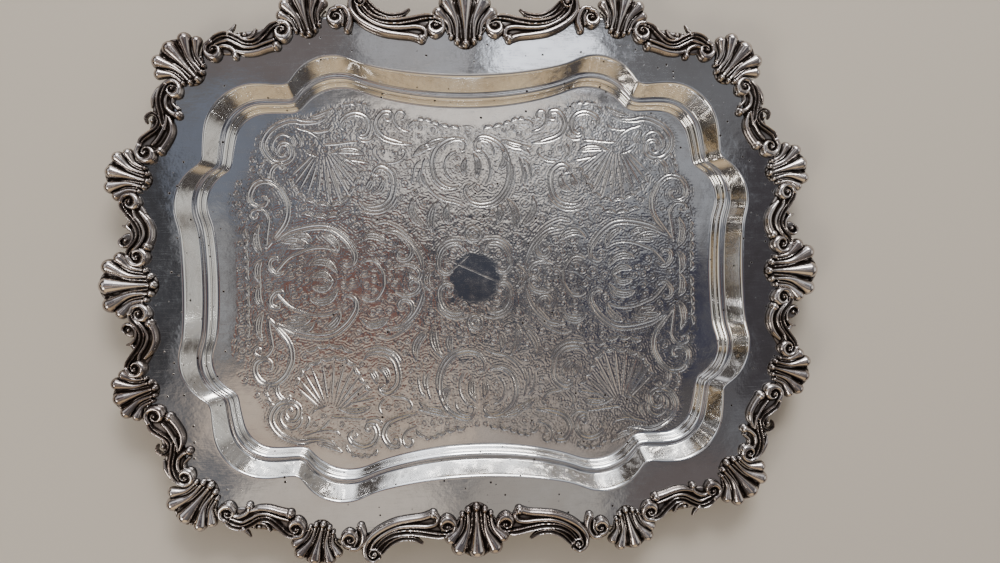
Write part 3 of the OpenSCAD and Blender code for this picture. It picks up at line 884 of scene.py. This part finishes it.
# Each rib's path, and its half widths and heights at even steps
SHELL_RIBS = (
    (((2.6, 0), (18, 0), (31.8, 0)), (1.5, 1.6, 1.9, 2.6, 3.6, 4.8, 5.9),
        (3.4, 3, 3.2, 3.8, 4.6, 5.6, 6.3)),
    (((4.6, 5.6), (18, 6.3), (30.2, 12.2)), (1.4, 1.4, 1.7, 2.3, 3.2, 4.3, 5.3),
        (3.2, 2.8, 3, 3.6, 4.3, 5.2, 5.9)),
    (((7.4, 9.6), (16.5, 11.4), (23.4, 17.6)), (1.2, 1.3, 1.5, 2, 2.7, 3.5, 4.3),
        (3, 2.6, 2.8, 3.2, 3.8, 4.6, 5.2)),
)
# Each bead's place, radius and height
SHELL_BEADS = (((2.9, 0), 2.9, 5.2), ((4.6, 5.6), 2.5, 4.8), ((7.4, 9.6), 2.1, 4.3))
SHELL_FILLETS = (
    ((7, 2.8), (18, 3.9), (25, 6.2), (30, 7)),
    ((9, 7.6), (17, 9.2), (23, 13), (26, 15.4)),
    ((10, 11.6), (14.5, 14.2), (17, 18)),
)


def placed(points, origin, degrees, scale):
    turn = np.radians(degrees)
    along, across = np.array([np.cos(turn), np.sin(turn)]), np.array([-np.sin(turn), np.cos(turn)])
    return [np.array(origin) + scale * (p[0] * along + p[1] * across) for p in points]


def shell_bands(origin, degrees, scale):
    """Five ribs that spread from small beads to round ends, with fillets between them, on a low plate."""
    tall = 0.4 + 0.6 * scale

    def part(points, widths, heights, profile="round"):
        widths, heights = np.array(widths) * scale, np.array(heights) * tall
        return Band(placed(points, origin, degrees, scale), widths, heights, profile)

    parts = [part(((8, 0), (17, 0), (25, 0)), (8.5, 11.5, 12.5), 1.5, "plate")]
    for side in (1, -1):
        # The middle rib and bead lie on the axis, so their mirrored copies are left out
        for points, widths, heights in SHELL_RIBS[side < 0:]:
            parts.append(part([(x, y * side) for x, y in points], widths, heights))
        for (x, y), radius, height in SHELL_BEADS[side < 0:]:
            parts.append(part([(x, y * side)], radius, height))
        for points in SHELL_FILLETS:
            parts.append(part([(x, y * side) for x, y in points], (0.7, 0.8, 0.7), 2.7))
    return parts


# Round a volute, from its outer side past the shell and its inner side to its eye:
# angle from the inner side, distance from the eye, half width, height
SNAIL = (
    (180, 6, 2, 3.4), (135, 5.7, 2, 3.5), (90, 5.3, 1.9, 3.7), (45, 5.2, 2.7, 4.4), (0, 5.4, 3.4, 4.9),
    (-45, 4.6, 2.8, 4.4), (-90, 3.8, 1.5, 3.8), (-135, 3.1, 0.9, 3.2), (-180, 2.6, 0.8, 3),
    (-225, 2.1, 0.8, 3.1), (-270, 1.6, 0.8, 3.2),
)


def snail(eye, inward, shell, size=1.0):
    """A volute: it comes round on the side near the shell, swells on the inner side and winds to an eye."""
    eye = np.array(eye, float)
    inward = np.array(inward, float) / np.hypot(*inward)
    side = np.array([-inward[1], inward[0]])
    if side @ (np.array(shell) - eye) < 0:
        side = -side
    angles, radii, widths, heights = np.array(SNAIL).T
    spokes = np.outer(np.cos(np.radians(angles)), inward) + np.outer(np.sin(np.radians(angles)), side)
    return [
        Band(eye + size * radii[:, None] * spokes, size * widths, heights),
        bead(eye, 1.35 * size, 4.1),
        Band([eye], 4.2 * size, 1.7, "plate"),
    ]


def local(points, origin, towards):
    """From (along, outward) beside a line between two eyes to places on the rim."""
    origin, towards = np.array(origin, float), np.array(towards, float)
    along = (towards - origin) / np.hypot(*(towards - origin))
    outward = np.array([-along[1], along[0]])
    if outward @ origin < 0:
        outward = -outward
    return [origin + p[0] * along + p[1] * outward for p in points]


LONG_SHELL = (101.5, 159.8)
CORNER_SHELL = (172.4, 130.6)
END_SHELL = (205.4, 66.5)


def long_scroll_bands():
    """The long S-scroll between the two shells of a long side's corner."""
    first, second = np.array([120, 164]), np.array([164, 151.5])

    def at(*points):
        return local(points, first, second)

    inward = at((0, -1))[0] - first
    return [
        *snail(first, inward, LONG_SHELL),
        *snail(second, inward, CORNER_SHELL, 0.95),
        Band(at((-2, 5.4), (5, 4.6), (11.3, 1), (18.5, -2.2), (24.3, -0.8), (29.1, 3.6), (34.3, 7.2),
            (40.4, 7.6), (46, 5.4)), (1.8, 2.4, 2.6, 2.5, 2.4, 2.4, 2.4, 2.3, 1.8),
            (3.2, 3.8, 4, 4, 3.9, 3.9, 3.8, 3.6, 3.3), "flute"),
        Band(at((6.1, -8.7), (12.9, -8.8), (20.3, -9.1), (27.1, -7.7), (32.5, -4.4)),
            (2.7, 2.4, 2.4, 2.2, 1.4), (4.4, 4.2, 4.2, 3.9, 3.2)),
        Band(at((6.1, -8.7)), 3.4, 5.2),
        Band(at((6.4, -4.6), (12.8, -4.9), (20.2, -5.6), (26, -4), (30.9, 0.2), (35.3, 3.4), (42.9, 2.8)),
            (1.3, 1.5, 1.5, 1.5, 1.5, 1.4, 1), 3.6),
        Band(at((26.7, 5.4), (26.2, 2.6), (22.8, 1.2), (18.9, 2), (16, 5)), 1.2, 3.2),
        Band(at((23.6, 4)), 1.8, 3.4),
        Band(at((33.5, 7.4), (29.5, 9.8), (27.4, 11.8)), (1.8, 1.4, 0.7), (3.2, 2.8, 2.2)),
        Band(at((43.2, -0.4), (39.2, 0.6), (35.1, -1.4), (32.8, -4.7), (33, -8.1)),
            (1.2, 1.7, 1.8, 1.9, 2.3), (3.4, 3.6, 3.7, 3.9, 4.2)),
        Band(at((33.2, -8.1)), 2.7, 4.5),
        plate(at((3, -2), (14, -2), (26, -1), (38, 1), (44, 1)), (6.5, 7, 7.5, 6.5, 5)),
    ]


def corner_scroll_bands():
    """The S-scroll round a corner of the tray."""
    return [
        *snail((208.5, 85.7), (-4, -4.2), END_SHELL),
        *snail((190.5, 126.5), (-4.8, -4.5), CORNER_SHELL, 0.92),
        Band(((212.4, 90), (210.4, 94), (206, 97.4), (201.5, 100.6), (199, 105), (200.5, 109.2),
            (204, 110.8), (207.4, 108.4), (207, 104.8)), (1.8, 2.2, 2.3, 2.2, 1.8, 1.5, 1.4, 1.2, 0.9),
            (3.3, 3.8, 3.9, 3.9, 3.7, 3.6, 3.5, 3.4, 3.2), "flute"),
        bead((203.6, 105.8), 1.7, 3.7),
        Band(((198.7, 86.3), (194.5, 92), (191.5, 98), (191.3, 103), (193, 108)), (2.7, 2.5, 2.4, 2.2, 1.4),
            (4.4, 4.2, 4.2, 3.9, 3.2)),
        bead((198.9, 86.5), 3.4, 5.2),
        Band(((203.5, 90.6), (200.4, 94), (197.6, 98.6), (195.2, 103.6), (194.2, 109)),
            (1.2, 1.5, 1.5, 1.5, 1.2), 3.6),
        Band(((195.6, 101), (197, 106), (197.6, 111), (198.8, 116), (198.8, 121), (197.2, 126),
            (194.8, 129.8)), (1.4, 2.1, 2.3, 2.3, 2.3, 2.2, 1.8), (3.3, 3.8, 3.9, 3.9, 3.9, 3.7, 3.4),
            "flute"),
        Band(((203.4, 115), (202.6, 120), (199.8, 125.4), (196, 129.6)), (0.9, 1.8, 1.8, 1.2),
            (2.4, 3.2, 3.2, 3)),
        bead((187.2, 109.3), 3.1, 4.7),
        Band(((187.2, 109.5), (190.6, 110.6), (194, 114), (194.8, 119), (193.6, 122.4)),
            (2.6, 1.9, 1.7, 1.6, 1.2), (4.2, 3.8, 3.6, 3.4, 3.2)),
        Band(((187, 113.4), (190.2, 117), (190, 121)), (1.3, 1.3, 1), 3.1),
        plate(((206, 90), (200, 98), (197, 108), (196, 118), (192, 124)), (5.5, 6.5, 7, 6.5, 4.5)),
    ]


def end_scroll_bands():
    """The shorter scroll beside the shell at each end."""
    return [
        *snail((216, 18.5), (-1, 0.05), (205, 0)),
        *snail((219.5, 54), (-1, -0.08), END_SHELL, 0.92),
        Band(((222, 17.8), (220.6, 22.4), (217, 26.4), (214.6, 31), (214.8, 36), (217.2, 41), (221, 46),
            (224, 50.4), (225, 54)), (1.8, 2.2, 2.3, 2.3, 2.3, 2.3, 2.2, 2, 1.7),
            (3.3, 3.8, 3.9, 3.9, 3.9, 3.9, 3.8, 3.6, 3.4), "flute"),
        Band(((218.4, 21.8), (213.6, 27), (211, 33), (212.4, 39), (216, 44.5), (217, 48)),
            (1, 1.5, 1.5, 1.5, 1.4, 1.2), 3.6),
        Band(((209.5, 24.8), (206.8, 30), (206.3, 36), (208.6, 42), (213, 47.5)), (2.7, 2.5, 2.5, 2.3, 1.4),
            (4.4, 4.2, 4.2, 3.9, 3.2)),
        bead((209.4, 25), 3.4, 5.2),
        Band(((221.6, 38), (218.7, 34.4), (218.5, 29.6), (221, 25.9), (225, 25.3), (226.8, 28.4),
            (225, 31)), (1.4, 1.3, 1.2, 1.2, 1.2, 1.1, 0.9), (3.2, 3.3, 3.3, 3.3, 3.3, 3.2, 3.1)),
        bead((222.8, 29), 1.5, 3.5),
        Band(((219.6, 41), (221.8, 38.4), (224.4, 38.6)), (1.6, 1.6, 0.8), (3.1, 2.8, 2.2)),
        plate(((214, 20), (212, 30), (213, 40), (217, 50)), (5.5, 6.8, 6.8, 5.5)),
        plate(((221.5, 29.5),), 4.4),
    ]


def leaf_bands():
    """The long leaf scroll beside the shell at the front and the back."""
    return [
        *snail((20, 167.5), (0, -1), (0, 170)),
        Band(((29.6, 158.2), (36, 160.2), (45, 161.2), (55, 163), (65, 167.4), (72, 173), (75.3, 179),
            (74.6, 185.4), (70, 188.8), (65.6, 186.6)), (2.6, 2.5, 2.6, 2.8, 2.8, 2.4, 2.1, 1.8, 1.5, 1.2),
            (4.4, 4.3, 4.4, 4.5, 4.4, 4.1, 3.8, 3.6, 3.5, 3.3)),
        bead((29.2, 158.6), 3.4, 5.3),
        Band(((29.2, 158.4), (26.4, 161.4), (27.6, 165.2), (33, 166.6), (42, 166), (53, 166.6), (62, 170.2),
            (68.5, 175.2), (71.2, 180)), (2.3, 2, 1.9, 1.9, 1.8, 1.8, 1.8, 1.6, 1.2),
            (4.2, 3.8, 3.6, 3.6, 3.6, 3.6, 3.6, 3.5, 3.3)),
        Band(((20, 173.4), (27, 173.2), (36, 171.4), (46, 170), (56, 171), (63, 174.6), (67.6, 179.6)),
            (2, 2.7, 2.7, 2.6, 2.5, 2.1, 1.5), (3.4, 3.8, 3.9, 3.9, 3.8, 3.6, 3.4), "flute"),
        Band(((37, 178), (42, 174.8), (50, 174), (58, 177.2), (64, 183)), (1, 2, 2.3, 2.2, 1.7),
            (2.5, 3.3, 3.5, 3.5, 3.4), "flute"),
        Band(spiral((69.5, 183.5), 3.7, 190, 1.1, 1, 1.4), 0.9, 3.5),
        bead((69.5, 183.5), 1.5, 4.2),
        plate(((24, 166), (36, 166.5), (48, 168), (60, 172), (69, 181)), (4.5, 7, 7.5, 7, 6)),
    ]


def link_bands():
    """The small C-scroll between the leaf and the shell after it."""
    return [
        *snail((85, 173), (0.05, -1), LONG_SHELL, 0.88),
        Band(((77.4, 164.6), (75.8, 169.5), (76.6, 175), (79.8, 179.4), (84.6, 179.6)),
            (2.9, 2.5, 2.1, 1.9, 1.8), (4.8, 4.3, 3.8, 3.6, 3.4)),
        Band(((80.4, 168.4), (80, 173.4), (82, 177.2)), (1.2, 1.2, 1), 3.2),
        plate(((79, 170), (82, 174), (86, 176)), (3.5, 5, 4.5)),
    ]


QUARTERS = {"front_left": (-1, -1), "front_right": (1, -1), "back_left": (-1, 1), "back_right": (1, 1)}
QUARTER_CASTINGS = {
    "shell_long": shell_bands(LONG_SHELL, 74, 0.8),
    "shell_corner": shell_bands(CORNER_SHELL, 49, 0.9),
    "shell_end": shell_bands(END_SHELL, 16, 0.8),
    "scroll_leaf": leaf_bands(),
    "scroll_link": link_bands(),
    "scroll_long": long_scroll_bands(),
    "scroll_corner": corner_scroll_bands(),
    "scroll_end": end_scroll_bands(),
}


def add_castings():
    for kind, bands in QUARTER_CASTINGS.items():
        mesh_data = casting_mesh_data(bands)
        for quarter, turn in QUARTERS.items():
            add_casting(f"{kind}_{quarter}", mesh_data, turn)
    half_length, half_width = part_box("shell_right")[1][0] / MM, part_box("shell_back")[1][1] / MM
    end_shell = casting_mesh_data(shell_bands((half_length - SHELL_LENGTH, 0), 0, 1))
    side_shell = casting_mesh_data(shell_bands((0, half_width - SHELL_LENGTH), 90, 1))
    add_casting("shell_right", end_shell, (1, 1))
    add_casting("shell_left", end_shell, (-1, 1))
    add_casting("shell_back", side_shell, (1, 1))
    add_casting("shell_front", side_shell, (1, -1))


add_castings()


# ---- stage, light and camera ----

def stage_floor():
    """The table, just clear of the tray's underside."""
    half = 2500
    corners = [(-half, -half, 0), (half, -half, 0), (half, half, 0), (-half, half, 0)]
    mesh = new_mesh("stage_floor", corners, [(0, 1, 2, 3)])
    floor = bpy.data.objects.new("stage_floor", mesh)
    bpy.context.scene.collection.objects.link(floor)
    floor.location.z = -0.0002
    material = bpy.data.materials.new("pale_cloth")
    material.use_nodes = True
    shader = material.node_tree.nodes["Principled BSDF"]
    shader.inputs["Base Color"].default_value = (0.62, 0.56, 0.48, 1)
    shader.inputs["Roughness"].default_value = 0.9
    mesh.materials.append(material)


def direction(azimuth, elevation):
    """A unit vector: azimuth turns from +X towards +Y, elevation up from the floor."""
    a, e = math.radians(azimuth), math.radians(elevation)
    return Vector((math.cos(e) * math.cos(a), math.cos(e) * math.sin(a), math.sin(e)))


# What is seen past the edge of the table
BACKDROP = (0.4, 0.39, 0.38, 1)
# Light from the sides: azimuth, elevation, inner and outer radius in degrees, and colour
WALL_PATCHES = (
    (270, 22, 16, 34, (0.85, 0.66, 0.42)),
    (48, 14, 16, 32, (0.4, 0.38, 0.36)),
    (0, 26, 12, 28, (0.85, 0.84, 0.8)),
    (92, 5, 14, 25, (2.6, 2.7, 2.8)),
    (180, 16, 16, 26, (0.03, 0.025, 0.02)),
    (178, 22, 3, 8, (0.9, 0.66, 0.38)),
    (100, 42, 14, 19, (1.1, 1.12, 1.2)),
    (150, 42, 14, 19, (0.9, 0.9, 0.92)),
    (190, 44, 12, 17, (0.7, 0.67, 0.62)),
    (60, 44, 12, 17, (0.8, 0.84, 0.9)),
    (95, 34, 9, 13, (3.2, 3.3, 3.5)),
    (215, 40, 5, 10, (1.8, 1.7, 1.5)),
)
# Light from above, in a plane one unit over the tray: x and y of a middle, half sizes, and colour
CEILING_PATCHES = (
    (-0.25, 0.14, 0.12, 0.08, (0.17, 0.19, 0.24)),
    (0.04, 0.16, 0.16, 0.07, (0.95, 0.9, 0.86)),
    (-0.3, -0.02, 0.03, 0.1, (0.32, 0.33, 0.35)),
    (0.28, 0.1, 0.1, 0.09, (0.34, 0.36, 0.4)),
    (-0.13, -0.07, 0.09, 0.09, (0.2, 0.1, 0.085)),
    (0.04, -0.02, 0.07, 0.06, (0.05, 0.055, 0.075)),
    (0.28, -0.08, 0.09, 0.1, (0.05, 0.052, 0.08)),
    (-0.12, -0.2, 0.2, 0.07, (0.6, 0.5, 0.42)),
    (0.14, -0.2, 0.1, 0.07, (0.42, 0.37, 0.34)),
    (0.33, -0.22, 0.07, 0.06, (0.1, 0.095, 0.1)),
    (-0.38, 0.0, 0.05, 0.17, (0.05, 0.05, 0.055)),
    (0.45, -0.02, 0.06, 0.2, (0.055, 0.05, 0.055)),
    (-0.22, 0.29, 0.1, 0.05, (0.16, 0.14, 0.14)),
    (-0.03, 0.29, 0.07, 0.05, (0.42, 0.42, 0.44)),
    (0.15, 0.28, 0.08, 0.04, (1.7, 1.8, 2.0)),
    (-0.14, -0.33, 0.14, 0.06, (0.62, 0.55, 0.48)),
    (0.12, -0.33, 0.1, 0.06, (0.4, 0.37, 0.34)),
    (0.34, -0.33, 0.1, 0.06, (0.14, 0.12, 0.12)),
)


def off_middle(tree, value, middle, half):
    """The distance from a middle as a share of the half size, cubed, so that patches have round corners."""
    away = math_node(tree, "ABSOLUTE", math_node(tree, "SUBTRACT", value, middle))
    return math_node(tree, "POWER", math_node(tree, "DIVIDE", away, half), 3.0)


def studio_world():
    """A dim room, with the patches of light and shade that polished silver mirrors."""
    world = bpy.data.worlds.new("studio")
    bpy.context.scene.world = world
    world.use_nodes = True
    tree = world.node_tree
    ray = add(tree, "TexCoord").outputs["Generated"]
    x, y, z = add(tree, "SeparateXYZ", Vector=ray).outputs
    height = math_node(tree, "MAXIMUM", z, 0.1)
    across = math_node(tree, "DIVIDE", x, height)
    along = math_node(tree, "DIVIDE", y, height)
    colour = mixed(tree, ranged(tree, z, 0.0, 0.9), (0.07, 0.055, 0.045, 1), (0.15, 0.15, 0.16, 1))
    for azimuth, elevation, inner, outer, light in WALL_PATCHES:
        towards = direction(azimuth, elevation)
        facing = add(tree, "VectorMath", {"operation": "DOT_PRODUCT"}, i0=ray, i1=towards).outputs["Value"]
        share = ranged(tree, facing, math.cos(math.radians(outer)), math.cos(math.radians(inner)))
        colour = mixed(tree, share, colour, (*light, 1))
    for middle_x, middle_y, half_x, half_y, light in CEILING_PATCHES:
        off_x = off_middle(tree, across, middle_x, half_x)
        off = plus(tree, off_x, off_middle(tree, along, middle_y, half_y), 1.0)
        colour = mixed(tree, ranged(tree, off, 1.5, 0.6), colour, (*light, 1))
    seen = add(tree, "LightPath").outputs["Is Camera Ray"]
    tree.links.new(mixed(tree, seen, colour, BACKDROP), tree.nodes["Background"].inputs["Color"])


def add_light(name, place, target, size, power, colour):
    data = bpy.data.lights.new(name, "AREA")
    data.shape, data.size, data.size_y = "RECTANGLE", *size
    data.energy, data.color = power, colour
    lamp = bpy.data.objects.new(name, data)
    lamp.location = place
    lamp.rotation_euler = (Vector(target) - Vector(place)).to_track_quat("-Z", "Y").to_euler()
    bpy.context.scene.collection.objects.link(lamp)


def add_camera():
    """Straight above the tray, a little left of and behind its middle."""
    place = Vector((-0.0199, 0.0099, 0.5269))
    target = Vector((0.0195, -0.0032, RIM_HEIGHT * MM))
    turn = math.radians(1.26)
    back = (place - target).normalized()
    right = Vector((math.sin(turn), math.cos(turn), 0)).cross(back).normalized()
    up = back.cross(right)
    data = bpy.data.cameras.new("camera")
    data.lens, data.sensor_width = 27.0, 36.0
    camera = bpy.data.objects.new("camera", data)
    rows = [(*axes, at) for *axes, at in zip(right, up, back, place)]
    camera.matrix_world = Matrix([*rows, (0, 0, 0, 1)])
    bpy.context.scene.collection.objects.link(camera)
    bpy.context.scene.camera = camera


stage_floor()
studio_world()
add_light("window", (0.25, 1.5, 1.3), (0, 0, 0), (0.8, 0.5), 22.0, (1.0, 0.98, 0.95))
add_light("room", (-1.2, -0.9, 1.4), (0, 0, 0), (0.6, 0.6), 9.0, (1.0, 0.93, 0.84))
add_camera()
